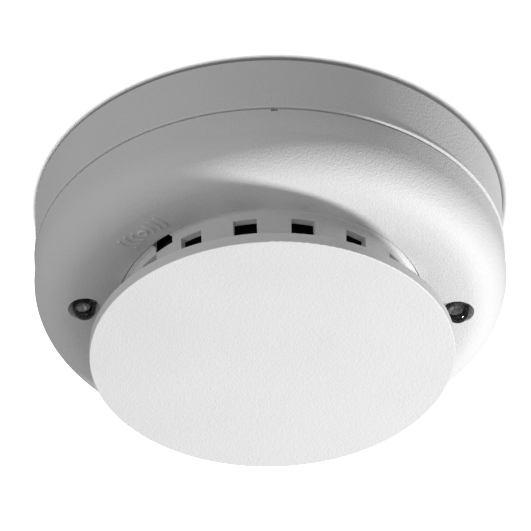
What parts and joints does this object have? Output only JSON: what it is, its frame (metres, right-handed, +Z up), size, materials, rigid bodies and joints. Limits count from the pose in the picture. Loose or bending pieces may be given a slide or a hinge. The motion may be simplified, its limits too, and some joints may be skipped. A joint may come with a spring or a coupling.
{
  "type": "heat detector",
  "caption": "Ceiling heat detector: a wired round base and a twist-lock head with an open sensor cage, a front disc and two indicator lamps.",
  "frame": {"origin": "centre of the base's ceiling face", "axes": "+Z up towards the ceiling, the detector hangs down in -Z; -Y is the front with the index notch; +X is the side of one lamp"},
  "size_m": [0.1, 0.1, 0.0395],
  "materials": {
    "base_plastic": "white moulded thermoplastic, fine spark-eroded texture",
    "cover_plastic": "white moulded thermoplastic, fine spark-eroded texture",
    "rear_plastic": "white moulded thermoplastic, smooth",
    "carrier_plastic": "black moulded thermoplastic",
    "seal_rubber": "soft dark seal",
    "board_laminate": "green glass-epoxy laminate",
    "led_lens": "clear epoxy lens",
    "bead_glass": "small glass envelope",
    "capacitor_can": "drawn can",
    "chip_body": "black moulded epoxy",
    "switch_body": "blue moulded switch body",
    "contact_brass": "tin-bronze and brass strip",
    "plated_steel": "zinc-plated steel"
  },
  "bodies": {
    "base": {"base_housing": "base_plastic", "contact_spring_1": "contact_brass", "contact_spring_2": "contact_brass", "contact_spring_3": "contact_brass", "contact_spring_4": "contact_brass"},
    "clamp_1": {"clamp_plate_1": "plated_steel"},
    "screw_1": {"terminal_screw_1": "plated_steel"},
    "clamp_2": {"clamp_plate_2": "plated_steel"},
    "screw_2": {"terminal_screw_2": "plated_steel"},
    "clamp_3": {"clamp_plate_3": "plated_steel"},
    "screw_3": {"terminal_screw_3": "plated_steel"},
    "clamp_4": {"clamp_plate_4": "plated_steel"},
    "screw_4": {"terminal_screw_4": "plated_steel"},
    "seal": {"seal_ring": "seal_rubber"},
    "head": {"address_switch": "switch_body", "board_screws": "plated_steel", "bridge_rectifier": "chip_body", "chip_resistors": "chip_body", "circuit_board": "board_laminate", "contact_blade_1": "contact_brass", "contact_blade_2": "contact_brass", "contact_blade_3": "contact_brass", "contact_blade_4": "contact_brass", "cover_screws": "plated_steel", "front_disc": "cover_plastic", "head_cover": "cover_plastic", "led_holder_left": "carrier_plastic", "led_holder_right": "carrier_plastic", "led_left": "led_lens", "led_right": "led_lens", "loop_driver": "chip_body", "microcontroller": "chip_body", "rear_cover": "rear_plastic", "reed_switch": "bead_glass", "reference_thermistor": "chip_body", "reservoir_capacitor": "capacitor_can", "sensing_thermistor": "bead_glass", "sensor_cage": "cover_plastic", "sensor_carrier": "carrier_plastic", "surge_suppressor": "chip_body"}
  },
  "joints": [
    {"name": "head_drop", "type": "slide", "parent": "base", "child": "seal", "axis": [0, 0, 1], "range_m": [-0.032, 0]},
    {"name": "head_twist", "type": "hinge", "parent": "seal", "child": "head", "pos_m": [0, 0, 0], "axis": [0, 0, 1], "range_deg": [0, 18]},
    {"name": "clamp_lift_1", "type": "slide", "parent": "base", "child": "clamp_1", "axis": [0, 0, 1], "range_m": [-0.0015, 0]},
    {"name": "screw_turn_1", "type": "hinge", "parent": "clamp_1", "child": "screw_1", "pos_m": [0.01803, 0.01803, -0.006], "axis": [0, 0, 1], "range_deg": [-1080, 0]},
    {"name": "clamp_lift_2", "type": "slide", "parent": "base", "child": "clamp_2", "axis": [0, 0, 1], "range_m": [-0.0015, 0]},
    {"name": "screw_turn_2", "type": "hinge", "parent": "clamp_2", "child": "screw_2", "pos_m": [-0.01803, 0.01803, -0.006], "axis": [0, 0, 1], "range_deg": [-1080, 0]},
    {"name": "clamp_lift_3", "type": "slide", "parent": "base", "child": "clamp_3", "axis": [0, 0, 1], "range_m": [-0.0015, 0]},
    {"name": "screw_turn_3", "type": "hinge", "parent": "clamp_3", "child": "screw_3", "pos_m": [-0.01803, -0.01803, -0.006], "axis": [0, 0, 1], "range_deg": [-1080, 0]},
    {"name": "clamp_lift_4", "type": "slide", "parent": "base", "child": "clamp_4", "axis": [0, 0, 1], "range_m": [-0.0015, 0]},
    {"name": "screw_turn_4", "type": "hinge", "parent": "clamp_4", "child": "screw_4", "pos_m": [0.01803, -0.01803, -0.006], "axis": [0, 0, 1], "range_deg": [-1080, 0]}
  ],
  "couplings": [
    {"joint": "screw_turn_1", "follows": "clamp_lift_1", "rad_per_m": 12566},
    {"joint": "screw_turn_2", "follows": "clamp_lift_2", "rad_per_m": 12566},
    {"joint": "screw_turn_3", "follows": "clamp_lift_3", "rad_per_m": 12566},
    {"joint": "screw_turn_4", "follows": "clamp_lift_4", "rad_per_m": 12566}
  ]
}
